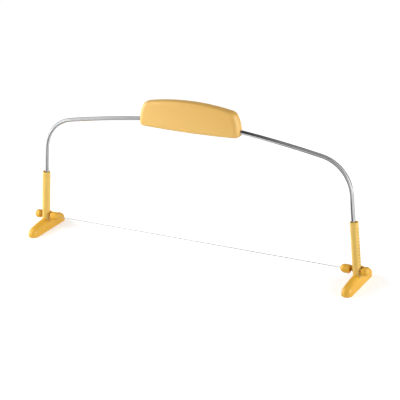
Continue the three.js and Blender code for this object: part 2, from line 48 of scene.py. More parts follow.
# The bow's rod
LEG_SPREAD = 169.9 * MM
LEG_TILT = math.radians(4.5)
ROD_RADIUS = 2.0 * MM
ROD_OFFSET = 0.6 * MM  # from the post's axis inwards to the rod's
ROD_END = 20.5 * MM  # along the leg, as BEND_START is
BEND_START = 88.2 * MM
BEND_RADIUS = 36.0 * MM
ARM_OUTER_SLOPE = math.radians(10.45)  # of the arm at its bend
ARM_INNER_SLOPE = math.radians(6.4)  # of the arm at the grip's end
BEND_STEPS = 20
ARM_STEPS = 24
ROD_SIDES = 40
ROD_WAY_SIDES = 32

# Modelling
OVERRUN = 1.0 * MM  # how far a cutter reaches past what it cuts
TOUCH = 0.01 * MM  # how near to a plane a point has to lie to be picked
WELD = 0.002 * MM  # how near to one another two points are made one
SLIVER = 0.001 * MM  # the least step between two rings

# Posts and feet
POST_RADIUS = 4.0 * MM
POST_TOP = 62.5 * MM  # along the post, as POST_SEAT is
POST_SIDES = 72
POST_EDGE = 0.5 * MM
POST_SEAT = 8.6 * MM
SPIGOT_RADIUS = 2.7 * MM
SPIGOT_LENGTH = 4.6 * MM
MOUTH_RADIUS = 3.1 * MM  # of the recess round the rod at the post's top
MOUTH_DEPTH = 1.6 * MM
MOUTH_FLARE = 0.35 * MM
MOUTH_RISE = 0.05 * MM  # how far above the post's top the flare is full
NOTCH_PITCH = 3.175 * MM
NOTCH_COUNT = 14
NOTCH_DEPTH = 0.8 * MM
NOTCH_FLOOR = 0.9 * MM  # height of a notch at its floor
NOTCH_MOUTH = 2.0 * MM  # height of a notch at the post's skin
NOTCH_ROOT = 0.2 * MM  # rounding at a notch's floor
NOTCH_RIM = 0.14 * MM  # bevel of all the post's sharp edges
RECESS_SKIN = 0.08 * MM  # how far below the skin a face counts as sunk
RECESS_MARGIN = 1.0 * MM  # how far below the post's top the marked faces end
SNUG = 0.05 * MM  # least room between post and foot
FOOT_HALF_LENGTH = 29.2 * MM
FOOT_HALF_WIDTH = 5.2 * MM
FOOT_HEIGHT = 12.6 * MM
FOOT_SIDE = 3.7 * MM  # height of the upright side
FOOT_EDGE = 0.8 * MM  # rounding round the sole
FOOT_CROWN_FALL = 4.8 * MM  # how much lower the crown is at the ends
FOOT_NOSE_DROP = 1.4 * MM  # and how much more at the very tips
FOOT_CUTS = (7 / 8, 7)  # the share that the cuts span, and how many on each side of the middle
FOOT_EDGE_STEPS = 5
FOOT_WELD = 0.02 * MM  # how near to one another two points of the cut ball are made one

# Wire, hooks and ferrules
WIRE_HEIGHT = 15.4 * MM  # above the table, at the lowest notch
WIRE_RADIUS = 0.25 * MM
KNOB_RADIUS = 4.2 * MM
KNOB_EDGE = 0.7 * MM  # bevel of the knobs' flat faces
KNOB_GAP = 2.5 * MM  # from the post's skin to the inner knob
HOOK_INNER_REACH = 16.4 * MM  # from the post's axis towards the wire
HOOK_OUTER_REACH = 12.1 * MM  # and away from it
INNER_NOSE = 5.0 * MM  # length of the rounded end on the wire's side
OUTER_NOSE = 3.2 * MM  # and on the outer side
OUTER_GAP = 0.4 * MM  # from the slide way to the outer knob
TIP_WALL = 1.6 * MM  # in front of the ferrule's pocket
UNHOOK_SHIFT = 0.8 * MM  # how far the hook lifts off the rack
COLLAR_HALF_HEIGHT = 2.5 * MM
COLLAR_WALL = 2.0 * MM
COLLAR_LIP = 2.6 * MM  # how far the collar comes round to the front
LINK_FRONT = 1.9 * MM  # front face of the link, behind the post's axis
LINK_OVERLAP = 0.8 * MM  # how deep the link enters what it joins
HOOK_GRID = 0.17 * MM  # cell of the grid that melts the hook into one body
HOOK_CUT = 12.0 * MM  # reach of the cutters that open the collar
SLIDE_CUT = 9.0 * MM  # reach of the slide way, up and down
COLLAR_SIDES = 64
FERRULE_RADIUS = 1.3 * MM
FERRULE_LENGTH = 2.2 * MM
FERRULE_RIM = 0.2 * MM
FERRULE_SIDES = 32
CRIMP_DEPTH = 0.15 * MM
CRIMP_HALF_WIDTH = 0.2 * MM
CRIMP_PLACES = (0.75 * MM, 1.45 * MM)  # from the ferrule's front
CRIMP_REACH = 1.0 * MM  # how far it narrows the wire on each side
CRIMPED = 0.85  # share of the wire's radius left there
WIRE_STUB = 0.4 * MM  # past the ferrule
WIRE_TIP = 0.1 * MM  # length of the wire's narrowed tip
WIRE_TIP_SIZE = 0.7  # share of the wire's radius left there

# Grip and its screws
GRIP_HALF_LENGTH = 53.0 * MM
GRIP_THICKNESS = 15.2 * MM
GRIP_ABOVE_ROD = 19.7 * MM
GRIP_BELOW_ROD = 9.2 * MM
GRIP_CORNER = 3.6 * MM  # rounding seen from the front
GRIP_EDGE = 2.6 * MM  # rounding between the faces and the rim
GRIP_TOP_EDGE = 4.6 * MM  # rounding along the top
GRIP_PILLOW = 0.8 * MM  # how far the faces swell
GRIP_TOP_DRAFT = 1.5 * MM  # how much thinner each half is at the top
GRIP_END_LEAN = 4.9 * MM  # how far the ends lean in at the top
GRIP_END_BOW = 3.5 * MM  # and at the faces
GRIP_TOP_FALL = 6.1 * MM  # how much lower the top is at the ends
GRIP_BOTTOM_RISE = 1.3 * MM  # how much higher the bottom is there
GRIP_WALL = 2.2 * MM
GRIP_SEAM = 0.08 * MM  # seen between the two shells
GRIP_CUTS_LONG = (0.92, 24)  # as for the foot
GRIP_CUTS_HIGH = (0.75, 6)
GRIP_CUTS_DEEP = (0.3, 1)
GRIP_CORNER_STEPS = 10
GRIP_EDGE_STEPS = 8
GRIP_CUT = 200.0 * MM  # reach of the cutters that part the shells
GRIP_SHADE_START = 130.0 * MM  # where the painted shade begins to darken the grip's top
GRIP_SHADE_FULL = 150.0 * MM  # where it's nearly full
SCREW_SPREAD = 26.0 * MM
SCREW_ABOVE_ROD = 8.4 * MM
SCREW_LENGTH = 7.6 * MM  # below the head
SCREW_RADIUS = 1.5 * MM
SCREW_ROOT = 1.2 * MM  # radius between the thread's ridges
SCREW_POINT = 0.7 * MM  # radius of the tip
SCREW_LEAD = 1.5 * MM  # from the tip to the first ridge
THREAD_PITCH = 0.8 * MM
THREAD_RISE = 0.3 * MM  # half of a ridge's width
SCREW_HEAD_RADIUS = 3.0 * MM
SCREW_HEAD_SIDE = 1.1 * MM  # height of the head's upright side
SCREW_HEAD_HEIGHT = 2.2 * MM  # in all
SCREW_SINK = 1.6 * MM  # from the grip's back to the top of the head
SCREW_WAY = 20.0 * MM  # reach of the cutters for the screw, to the back
SCREW_SIDES = 40
CROSS_LONG = 1.8 * MM  # half the length of each arm of the recess
CROSS_WIDE = 0.45 * MM  # half its width
CROSS_FLOOR = 0.9 * MM  # from the seat to the recess's floor

# Places worked out from the sizes
KNOB_FACE = POST_RADIUS + KNOB_GAP
SLIDE_RADIUS = POST_RADIUS + FIT
SCREW_SEAT = GRIP_THICKNESS / 2 - SCREW_SINK - SCREW_HEAD_HEIGHT
WIRE_AXIS_X = LEG_SPREAD - WIRE_HEIGHT * math.tan(LEG_TILT)
FOOT_AXIS_X = LEG_SPREAD - FOOT_HEIGHT * math.tan(LEG_TILT)
FERRULE_FRONT = WIRE_AXIS_X - HOOK_INNER_REACH + TIP_WALL + FIT


# Modelling steps

AXES = {"X": Vector((1, 0, 0)), "Y": Vector((0, 1, 0)), "Z": Vector((0, 0, 1))}


def put_down():
    """Leaves edit mode and deselects everything."""
    if bpy.context.object and bpy.context.object.mode != "OBJECT":
        bpy.ops.object.mode_set(mode="OBJECT")
    bpy.ops.object.select_all(action="DESELECT")


def pick_up(piece):
    """Makes one piece the selected and active object."""
    put_down()
    piece.select_set(True)
    bpy.context.view_layer.objects.active = piece


def named(name):
    """Names the primitive just added and puts its place into its mesh."""
    piece = bpy.context.object
    piece.name = name
    piece.data.name = name
    bpy.ops.object.transform_apply(location=True, rotation=True, scale=True)
    return piece


def edit(piece):
    """Enters edit mode on a piece with nothing selected."""
    pick_up(piece)
    bpy.ops.object.mode_set(mode="EDIT")
    bpy.ops.mesh.select_all(action="DESELECT")


def pick(kind, test):
    """Selects the points, edges or faces of the mesh being edited for which the test holds."""
    bpy.ops.mesh.select_mode(type=kind)
    bpy.ops.mesh.select_all(action="DESELECT")
    mesh = bpy.context.object.data
    cage = bmesh.from_edit_mesh(mesh)
    parts = {"VERT": cage.verts, "EDGE": cage.edges, "FACE": cage.faces}[kind]
    for part in parts:
        if test(part):
            part.select_set(True)
    cage.select_flush_mode()
    bmesh.update_edit_mesh(mesh)


def all_at(edge, test):
    """Whether the test holds for both ends of an edge."""
    return all(test(point.co) for point in edge.verts)


def depth_of(edge):
    """How far an edge reaches from front to back."""
    return abs(edge.verts[0].co.y - edge.verts[1].co.y)


def turns_sharply(edge):
    """Whether the two faces of an edge meet at more than a radian."""
    return len(edge.link_faces) == 2 and abs(edge.calc_face_angle()) > 1


def spread(half, share, count):
    """The middle of a length, and so many even places along a share of each half of it."""
    return [half * share * i / count for i in range(-count, count + 1)]


def cut_across(axis, places):
    """Cuts the whole mesh being edited at places along an axis, so that it can bend there."""
    for place in places:
        bpy.ops.mesh.select_all(action="SELECT")
        bpy.ops.mesh.bisect(plane_co=AXES[axis] * place, plane_no=AXES[axis])


def reshape(piece, move):
    """Moves every point of a piece by one rule."""
    for point in piece.data.vertices:
        point.co = move(point.co)
    piece.data.update()


def finish_normals(piece):
    """Welds the points that coincide and turns all faces outwards."""
    edit(piece)
    bpy.ops.mesh.select_all(action="SELECT")
    bpy.ops.mesh.remove_doubles(threshold=WELD)
    bpy.ops.mesh.normals_make_consistent(inside=False)
    put_down()


def smooth(piece, degrees):
    """Shades a piece smooth, apart from edges sharper than the angle."""
    pick_up(piece)
    bpy.ops.object.shade_smooth_by_angle(angle=math.radians(degrees))
    put_down()


def apply_modifier(piece, kind, **settings):
    """Gives a piece a modifier with its settings, and applies it."""
    pick_up(piece)
    modifier = piece.modifiers.new(kind.lower(), kind)
    for key, value in settings.items():
        setattr(modifier, key, value)
    bpy.ops.object.modifier_apply(modifier=modifier.name)
    put_down()


def carve(piece, *cutters, operation="DIFFERENCE"):
    """Cuts pieces out of a piece, or joins them to it, and uses them up."""
    for cutter in cutters:
        apply_modifier(piece, "BOOLEAN", operation=operation, object=cutter, solver="EXACT")
        bpy.data.objects.remove(cutter)


def copy_of(piece, name):
    """A second piece with a mesh of its own."""
    twin = piece.copy()
    twin.data = piece.data.copy()
    twin.name = name
    twin.data.name = name
    bpy.context.scene.collection.objects.link(twin)
    return twin


def mirrored(piece, name):
    """The left twin of a right piece."""
    twin = copy_of(piece, name)
    twin.data.transform(Matrix.Scale(-1, 4, (1, 0, 0)))
    twin.data.flip_normals()
    return twin


def leaned(piece, x=0.0):
    """Turns a piece from upright to the right leg's lean, and moves it out along X."""
    turn = Matrix.Rotation(-LEG_TILT, 4, "Y")
    piece.data.transform(Matrix.Translation((x, 0, 0)) @ turn)
    return piece


def box(name, low, high):
    """A block between two opposite corners."""
    middle = [(a + b) / 2 for a, b in zip(low, high)]
    bpy.ops.mesh.primitive_cube_add(size=1, location=middle)
    bpy.context.object.scale = [b - a for a, b in zip(low, high)]
    return named(name)


def turned(name, stations, axis="Z", sides=48, at=(0, 0, 0)):
    """A body of revolution: one ring, extruded and resized from station to station."""
    turn = {"X": (0, math.pi / 2, 0), "Y": (-math.pi / 2, 0, 0), "Z": (0, 0, 0)}[axis]
    along = AXES[axis]
    start = Vector(at) + along * stations[0][1]
    radius = stations[0][0]
    bpy.ops.mesh.primitive_circle_add(vertices=sides, radius=radius, location=start, rotation=turn)
    piece = named(name)
    edit(piece)
    bpy.ops.mesh.select_all(action="SELECT")
    bpy.ops.mesh.edge_face_add()
    place = stations[0][1]
    for next_radius, next_place in stations[1:]:
        step = along * (next_place - place)
        bpy.ops.mesh.extrude_region_move(TRANSFORM_OT_translate={"value": step})
        centre = Vector(at) + along * next_place
        size = next_radius / radius
        bpy.ops.transform.resize(value=(size, size, size), center_override=centre)
        radius, place = next_radius, next_place
    put_down()
    finish_normals(piece)
    return piece


def dome(radius, height, foot, steps=7, tip=0.04):
    """Stations of a rounded end that starts at a place and closes at a height beyond it."""
    turns = [i / steps * math.pi / 2 for i in range(steps + 1)]
    return [(max(radius * math.cos(a), radius * tip), foot + height * math.sin(a)) for a in turns]


# The rod

def on_rod(height):
    """The point of the right leg's axis at a height measured along the post."""
    x = LEG_SPREAD - math.sin(LEG_TILT) * height - math.cos(LEG_TILT) * ROD_OFFSET
    z = math.cos(LEG_TILT) * height - math.sin(LEG_TILT) * ROD_OFFSET
    return Vector((x, 0, z))


def bow_arcs():
    """The arcs from the right bend over the grip to the left one, each with its count of steps."""
    shoulder = on_rod(BEND_START)
    bend_x = shoulder.x - BEND_RADIUS * math.cos(LEG_TILT)
    bend_z = shoulder.z - BEND_RADIUS * math.sin(LEG_TILT)
    outer = math.pi / 2 - ARM_OUTER_SLOPE
    inner = math.pi / 2 - ARM_INNER_SLOPE
    start_x = bend_x + BEND_RADIUS * math.cos(outer)
    start_z = bend_z + BEND_RADIUS * math.sin(outer)
    arm = (start_x - GRIP_HALF_LENGTH) / (math.cos(outer) - math.cos(inner))
    arm_x = start_x - arm * math.cos(outer)
    arm_z = start_z - arm * math.sin(outer)
    grip = GRIP_HALF_LENGTH / math.cos(inner)
    grip_z = arm_z + (arm - grip) * math.sin(inner)
    return [
        (bend_x, bend_z, BEND_RADIUS, LEG_TILT, outer, BEND_STEPS),
        (arm_x, arm_z, arm, outer, inner, ARM_STEPS),
        (0.0, grip_z, grip, inner, math.pi - inner, ARM_STEPS),
        (-arm_x, arm_z, arm, math.pi - inner, math.pi - outer, ARM_STEPS),
        (-bend_x, bend_z, BEND_RADIUS, math.pi - outer, math.pi - LEG_TILT, BEND_STEPS),
    ]


ARCS = bow_arcs()
BEND_ARC, ARM_ARC, GRIP_ARC = ARCS[:3]
ROD_TOP = GRIP_ARC[1] + GRIP_ARC[2]


def bent_rod(name, radius, sides):
    """A ring at the right end, drawn up the leg, spun round each arc and down the other leg."""
    start = on_rod(ROD_END)
    bpy.ops.mesh.primitive_circle_add(
        vertices=sides, radius=radius, location=start, rotation=(0, -LEG_TILT, 0))
    rod = named(name)
    edit(rod)
    bpy.ops.mesh.select_all(action="SELECT")
    bpy.ops.mesh.edge_face_add()
    rise = on_rod(BEND_START) - start
    bpy.ops.mesh.extrude_region_move(TRANSFORM_OT_translate={"value": rise})
    for x, z, _, first, last, steps in ARCS:
        bpy.ops.mesh.spin(steps=steps, angle=last - first, center=(x, 0, z), axis=(0, 1, 0))
    fall = Vector((rise.x, 0, -rise.z))
    bpy.ops.mesh.extrude_region_move(TRANSFORM_OT_translate={"value": fall})
    put_down()
    finish_normals(rod)
    return rod


def mark_rod_lengths(rod):
    """Keeps for each point how far along the rod it lies, and where in the rod's section."""
    marks = rod.data.attributes.new("drawn", "FLOAT_VECTOR", "POINT")
    bend_x, bend_z, bend, tilt, outer, _ = BEND_ARC
    arm_x, arm_z, arm, _, inner, _ = ARM_ARC
    _, grip_z, grip, _, _, _ = GRIP_ARC
    to_arm = (math.pi / 2 - inner) * grip
    to_bend = to_arm + (inner - outer) * arm
    to_leg = to_bend + (outer - tilt) * bend
    shoulder = on_rod(BEND_START)
    across = Vector((math.cos(tilt), 0, math.sin(tilt)))
    down = Vector((math.sin(tilt), 0, -math.cos(tilt)))
    for point, mark in zip(rod.data.vertices, marks.data):
        place = point.co
        x = abs(place.x)
        turn = math.atan2(place.z - bend_z, x - bend_x)
        if x < GRIP_HALF_LENGTH:
            out = math.hypot(place.z - grip_z, x) - grip
            along = (math.pi / 2 - math.atan2(place.z - grip_z, x)) * grip
        elif turn > outer:
            out = math.hypot(place.z - arm_z, x - arm_x) - arm
            along = to_arm + (inner - math.atan2(place.z - arm_z, x - arm_x)) * arm
        elif turn > tilt:
            out = math.hypot(place.z - bend_z, x - bend_x) - bend
            along = to_bend + (outer - turn) * bend
        else:
            away = Vector((x, 0, place.z)) - shoulder
            out = away.dot(across)
            along = to_leg + away.dot(down)
        mark.vector = (along if place.x > 0 else -along, place.y, out)


def make_rod():
    """The bow's one rod, with its lengths marked for the plating's lines."""
    rod = bent_rod("steel_bow", ROD_RADIUS, ROD_SIDES)
    mark_rod_lengths(rod)
    smooth(rod, degrees=40)
    return rod


# Posts

def make_post():
    """The right post, made upright and then leaned out to its leg."""
    seat_floor = POST_SEAT - SPIGOT_LENGTH
    post = turned("post_right", [
        (SPIGOT_RADIUS - POST_EDGE, seat_floor), (SPIGOT_RADIUS, seat_floor + POST_EDGE),
        (SPIGOT_RADIUS, POST_SEAT), (POST_RADIUS, POST_SEAT), (POST_RADIUS, POST_TOP),
    ], sides=POST_SIDES)
    edit(post)
    pick("EDGE", lambda e: all_at(e, lambda p: p.z > POST_TOP - TOUCH))
    bpy.ops.mesh.bevel(offset=POST_EDGE, segments=4, affect="EDGES")
    put_down()
    flared, rise = MOUTH_RADIUS + MOUTH_FLARE, POST_TOP + MOUTH_RISE
    mouth = turned("mouth", [
        (MOUTH_RADIUS, POST_TOP - MOUTH_DEPTH), (MOUTH_RADIUS, rise - MOUTH_FLARE),
        (flared, rise), (flared, POST_TOP + OVERRUN),
    ])
    bore = turned("bore", [
        (ROD_RADIUS + FIT, ROD_END - FIT), (ROD_RADIUS + FIT, POST_TOP + OVERRUN),
    ], at=(-ROD_OFFSET, 0, 0))
    carve(post, bore, mouth)
    carve(post, notch_comb())
    apply_modifier(post, "BEVEL", width=NOTCH_RIM, segments=2, limit_method="ANGLE",
                   angle_limit=math.radians(40), use_clamp_overlap=True)
    mark_recesses(post)
    smooth(post, degrees=30)
    return leaned(post, LEG_SPREAD)


def mark_recesses(post):
    """Marks the faces of the upright post that lie in its notches, where dust gathers and painted
    shade darkens them.
    """
    marks = post.data.attributes.new("recess", "FLOAT", "FACE")
    for face, mark in zip(post.data.polygons, marks.data):
        middle = face.center
        outer = middle.x > POST_RADIUS - NOTCH_DEPTH - FIT
        sunk = math.hypot(middle.x, middle.y) < POST_RADIUS - RECESS_SKIN
        on_rack = POST_SEAT < middle.z < POST_TOP - RECESS_MARGIN
        mark.value = 1.0 if outer and sunk and on_rack else 0.0


def notch_comb():
    """All the notches of a post as one cutter: a wedge, widened to its mouth and repeated."""
    first = WIRE_HEIGHT / math.cos(LEG_TILT)
    floor = POST_RADIUS - NOTCH_DEPTH
    outside = POST_RADIUS + OVERRUN
    wedge = box("notches", (floor, -POST_RADIUS, first - NOTCH_FLOOR / 2),
                (outside, POST_RADIUS, first + NOTCH_FLOOR / 2))
    flare = 1 + (NOTCH_MOUTH / NOTCH_FLOOR - 1) * (NOTCH_DEPTH + OVERRUN) / NOTCH_DEPTH
    edit(wedge)
    pick("FACE", lambda f: f.normal.x > 0.9)
    bpy.ops.transform.resize(value=(1, 1, flare), center_override=(outside, 0, first))
    pick("EDGE", lambda e: all_at(e, lambda p: p.x < floor + TOUCH) and depth_of(e) > POST_RADIUS)
    bpy.ops.mesh.bevel(offset=NOTCH_ROOT, segments=3, affect="EDGES")
    put_down()
    apply_modifier(wedge, "ARRAY", count=NOTCH_COUNT, use_relative_offset=False,
                   use_constant_offset=True, constant_offset_displace=(0, 0, NOTCH_PITCH))
    return wedge


# Feet

def make_foot():
    """The right foot: a ball drawn out to a loaf, cut level, then given sides and a flat sole."""
    straight = FOOT_HALF_LENGTH - FOOT_HALF_WIDTH
    bpy.ops.mesh.primitive_uv_sphere_add(
        segments=48, ring_count=25, radius=FOOT_HALF_WIDTH, rotation=(math.pi / 2, 0, 0))
    foot = named("foot_block_right")
    reshape(foot, lambda p: Vector((p.x, p.y + math.copysign(straight, p.y), p.z)))
    edit(foot)
    cut_across("Y", spread(straight, *FOOT_CUTS))
    bpy.ops.mesh.select_all(action="SELECT")
    bpy.ops.mesh.bisect(plane_co=(0, 0, 0), plane_no=(0, 0, 1), clear_inner=True)
    bpy.ops.mesh.select_all(action="SELECT")
    bpy.ops.mesh.remove_doubles(threshold=FOOT_WELD)
    pick("EDGE", lambda e: e.is_boundary)
    side = {"value": (0, 0, FOOT_EDGE - FOOT_SIDE)}
    bpy.ops.mesh.extrude_edges_move(TRANSFORM_OT_translate=side)
    width, length, depth = FOOT_HALF_WIDTH, FOOT_HALF_LENGTH, 0.0
    for i in range(FOOT_EDGE_STEPS):
        turn = (i + 1) / FOOT_EDGE_STEPS * math.pi / 2
        inset, fall = FOOT_EDGE * (1 - math.cos(turn)), FOOT_EDGE * math.sin(turn)
        bpy.ops.mesh.extrude_edges_move(TRANSFORM_OT_translate={"value": (0, 0, depth - fall)})
        narrower, shorter = FOOT_HALF_WIDTH - inset, FOOT_HALF_LENGTH - inset
        size = (narrower / width, shorter / length, 1)
        bpy.ops.transform.resize(value=size, center_override=(0, 0, 0))
        width, length, depth = narrower, shorter, fall
    bpy.ops.mesh.edge_face_add()
    put_down()
    finish_normals(foot)
    crown = FOOT_HEIGHT - FOOT_SIDE

    def loaf(p):
        """Sets the upper half on the sides as a crown that falls to the ends."""
        if p.z <= 0:
            return Vector((p.x, p.y, max(p.z + FOOT_SIDE, 0.0)))
        fall = FOOT_CROWN_FALL * (p.y / FOOT_HALF_LENGTH) ** 2
        past = max(0.0, (abs(p.y) - straight) / FOOT_HALF_WIDTH)
        fall += FOOT_NOSE_DROP * (1 - math.sqrt(max(0.0, 1 - past ** 2)))
        return Vector((p.x, p.y, FOOT_SIDE + p.z / FOOT_HALF_WIDTH * (crown - fall)))

    reshape(foot, loaf)
    foot.data.transform(Matrix.Translation((FOOT_AXIS_X - LEG_SPREAD, 0, 0)))
    spigot_way, post_way = SPIGOT_RADIUS + FIT, POST_RADIUS + SNUG
    socket = turned("socket", [
        (spigot_way, POST_SEAT - SPIGOT_LENGTH - FIT), (spigot_way, POST_SEAT - SNUG),
        (post_way, POST_SEAT - SNUG), (post_way, FOOT_HEIGHT + 2 * OVERRUN),
    ], sides=POST_SIDES)
    carve(foot, leaned(socket))
    smooth(foot, degrees=35)
    foot.data.transform(Matrix.Translation((LEG_SPREAD, 0, 0)))
    return foot


# Hooks

def slide_way():
    """The way along the post, stretched outwards by the room in which the hook lifts off."""
    ends = [(SLIDE_RADIUS, -SLIDE_CUT), (SLIDE_RADIUS, SLIDE_CUT)]
    way = turned("slide_way", ends, sides=COLLAR_SIDES)
    edit(way)
    pick("VERT", lambda v: v.co.x > TOUCH)
    bpy.ops.transform.translate(value=(UNHOOK_SHIFT, 0, 0))
    put_down()
    return way


def make_hook():
    """The right hook, round the point where the wire's line meets the post's axis."""
    nose = [(r, -z) for r, z in dome(KNOB_RADIUS, INNER_NOSE, HOOK_INNER_REACH - INNER_NOSE)]
    hook = turned("hook_right", [
        (KNOB_RADIUS - KNOB_EDGE, -KNOB_FACE), (KNOB_RADIUS, -KNOB_FACE - KNOB_EDGE), *nose,
    ], axis="X")
    face = SLIDE_RADIUS + UNHOOK_SHIFT + OUTER_GAP
    outer = turned("outer_knob", [
        (KNOB_RADIUS - KNOB_EDGE, face), (KNOB_RADIUS, face + KNOB_EDGE),
        *dome(KNOB_RADIUS, OUTER_NOSE, HOOK_OUTER_REACH - OUTER_NOSE),
    ], axis="X")
    collar_radius = SLIDE_RADIUS + UNHOOK_SHIFT / 2 + COLLAR_WALL
    collar = turned("collar", [
        (collar_radius, -COLLAR_HALF_HEIGHT), (collar_radius, COLLAR_HALF_HEIGHT),
    ], sides=COLLAR_SIDES, at=(UNHOOK_SHIFT / 2, 0, 0))
    corner = (-HOOK_CUT, -HOOK_CUT, -HOOK_CUT)
    open_front = box("open_front", corner, (HOOK_CUT, -COLLAR_LIP, HOOK_CUT))
    open_inner = box("open_inner", corner, (0, LINK_FRONT, HOOK_CUT))
    carve(collar, open_front, open_inner)
    link_back = math.sqrt(KNOB_RADIUS ** 2 - COLLAR_HALF_HEIGHT ** 2) + LINK_OVERLAP
    link = box("link", (-KNOB_FACE - LINK_OVERLAP, LINK_FRONT, -COLLAR_HALF_HEIGHT),
               (-POST_RADIUS, link_back, COLLAR_HALF_HEIGHT))
    carve(hook, outer, leaned(collar), link, operation="UNION")
    carve(hook, leaned(slide_way()))
    carve(hook, leaned(hook_tooth()), operation="UNION")
    apply_modifier(hook, "REMESH", mode="VOXEL", voxel_size=HOOK_GRID, adaptivity=0.0)
    apply_modifier(hook, "SMOOTH", factor=0.5, iterations=5)
    pocket_from = TIP_WALL - HOOK_INNER_REACH
    pocket = turned("pocket", [
        (WIRE_RADIUS + FIT, -HOOK_INNER_REACH - OVERRUN), (WIRE_RADIUS + FIT, pocket_from),
        (FERRULE_RADIUS + FIT, pocket_from), (FERRULE_RADIUS + FIT, OVERRUN - KNOB_FACE),
    ], axis="X", sides=FERRULE_SIDES)
    carve(hook, pocket)
    smooth(hook, degrees=40)
    hook.data.transform(Matrix.Translation((WIRE_AXIS_X, 0, WIRE_HEIGHT)))
    return hook


def hook_tooth():
    """The tooth that fits the notches, drawn clear of them, as when the hook is lifted to slide."""
    root = SLIDE_RADIUS + UNHOOK_SHIFT + COLLAR_WALL / 2
    half = NOTCH_FLOOR / 2 - FIT / 2
    width = math.sqrt(POST_RADIUS ** 2 - (POST_RADIUS - NOTCH_DEPTH) ** 2)
    tooth = box("tooth", (SLIDE_RADIUS, -width, -half), (root, width, half))
    flare = 1 + (NOTCH_MOUTH - NOTCH_FLOOR) / 2 * ((root - SLIDE_RADIUS) / NOTCH_DEPTH) / half
    edit(tooth)
    pick("FACE", lambda f: f.normal.x > 0.9)
    bpy.ops.transform.resize(value=(1, 1, flare), center_override=(root, 0, 0))
    put_down()
    return tooth


# Wire and its crimped ends

def make_ferrule():
    """A short sleeve on the wire with bevelled rims and two crimping grooves."""
    outside = [(FERRULE_RADIUS - FERRULE_RIM, 0.0), (FERRULE_RADIUS, FERRULE_RIM)]
    for middle in CRIMP_PLACES:
        outside += [(FERRULE_RADIUS, middle - CRIMP_HALF_WIDTH),
                    (FERRULE_RADIUS - CRIMP_DEPTH, middle),
                    (FERRULE_RADIUS, middle + CRIMP_HALF_WIDTH)]
    outside += [(FERRULE_RADIUS, FERRULE_LENGTH - FERRULE_RIM),
                (FERRULE_RADIUS - FERRULE_RIM, FERRULE_LENGTH)]
    ferrule = turned("ferrule_right", outside, axis="X", sides=FERRULE_SIDES)
    hole = [(WIRE_RADIUS + FIT, -OVERRUN), (WIRE_RADIUS + FIT, FERRULE_LENGTH + OVERRUN)]
    carve(ferrule, turned("ferrule_hole", hole, axis="X", sides=24))
    smooth(ferrule, degrees=30)
    ferrule.data.transform(Matrix.Translation((FERRULE_FRONT, 0, WIRE_HEIGHT)))
    return ferrule


def make_wire():
    """The drawn wire, narrowed a little near each end, where the ferrule was crimped on it."""
    end = FERRULE_FRONT + FERRULE_LENGTH + WIRE_STUB
    crimp = FERRULE_FRONT + FERRULE_LENGTH / 2
    half = [(WIRE_RADIUS, 0.0), (WIRE_RADIUS, crimp - CRIMP_REACH),
            (WIRE_RADIUS * CRIMPED, crimp), (WIRE_RADIUS, crimp + CRIMP_REACH),
            (WIRE_RADIUS, end - WIRE_TIP), (WIRE_RADIUS * WIRE_TIP_SIZE, end)]
    stations = [(r, -x) for r, x in reversed(half)] + half[1:]
    wire = turned("drawn_wire", stations, axis="X", sides=20, at=(0, 0, WIRE_HEIGHT))
    smooth(wire, degrees=50)
    return wire


# Grip

def grip_loaf(name, inset):
    """A block with rounded corners and edges, then pushed into the loaf's bowed and leaning form."""
    middle = ROD_TOP + (GRIP_ABOVE_ROD - GRIP_BELOW_ROD) / 2
    half_height = (GRIP_ABOVE_ROD + GRIP_BELOW_ROD) / 2
    long, thick, high = GRIP_HALF_LENGTH - inset, GRIP_THICKNESS / 2 - inset, half_height - inset
    face = thick - GRIP_PILLOW
    edge = max(GRIP_EDGE - inset, FIT)
    corner = max(GRIP_CORNER - inset, FIT)
    loaf = box(name, (-long, -face, middle - high), (long, face, middle + high))
    edit(loaf)
    pick("EDGE", lambda e: depth_of(e) > face)
    bpy.ops.mesh.bevel(offset=corner, segments=GRIP_CORNER_STEPS, affect="EDGES")
    cut_across("X", spread(long, *GRIP_CUTS_LONG))
    for side in (1, -1):
        pick("EDGE", lambda e: all_at(e, lambda p: p.y * side > face - TOUCH) and turns_sharply(e))
        bpy.ops.mesh.bevel(offset=edge, segments=GRIP_EDGE_STEPS, affect="EDGES")
    cut_across("Z", [middle + place for place in spread(high, *GRIP_CUTS_HIGH)])
    cut_across("Y", spread(face, *GRIP_CUTS_DEEP))
    put_down()

    def loaf_form(p):
        """Swells the faces, rounds the top, leans and bows the ends, and crowns top and bottom."""
        height = p.z - middle
        pillow = GRIP_PILLOW * (1 - (p.x / long) ** 2) * (1 - (height / high) ** 2)
        y = p.y * (1 + pillow / face)
        out = min(max((abs(p.y) - face + edge) / edge, 0.0), 1.0)
        if height > 0:
            height *= 1 - (GRIP_TOP_EDGE - GRIP_EDGE) * (1 - math.sqrt(1 - out ** 2)) / half_height
        up = (height + half_height) / (2 * half_height)
        inward = GRIP_END_LEAN * up ** 2 + GRIP_END_BOW * (p.y / (GRIP_THICKNESS / 2)) ** 2
        x = p.x * (1 - inward / GRIP_HALF_LENGTH)
        crown = -GRIP_TOP_FALL if height > 0 else -GRIP_BOTTOM_RISE
        z = middle + height + crown * (height / half_height) * (x / GRIP_HALF_LENGTH) ** 2
        return Vector((x, y * (1 - GRIP_TOP_DRAFT * up ** 2 / thick), z))

    reshape(loaf, loaf_form)
    finish_normals(loaf)
    return loaf


def screw_place(side):
    """Where the axis of a screw crosses the grip's middle."""
    return side * SCREW_SPREAD, 0, ROD_TOP + SCREW_ABOVE_ROD


def screw_bar(name, side, radius, low, high):
    """A round bar on the axis of a screw."""
    ends = [(radius, low), (radius, high)]
    return turned(name, ends, axis="Y", sides=SCREW_SIDES, at=screw_place(side))


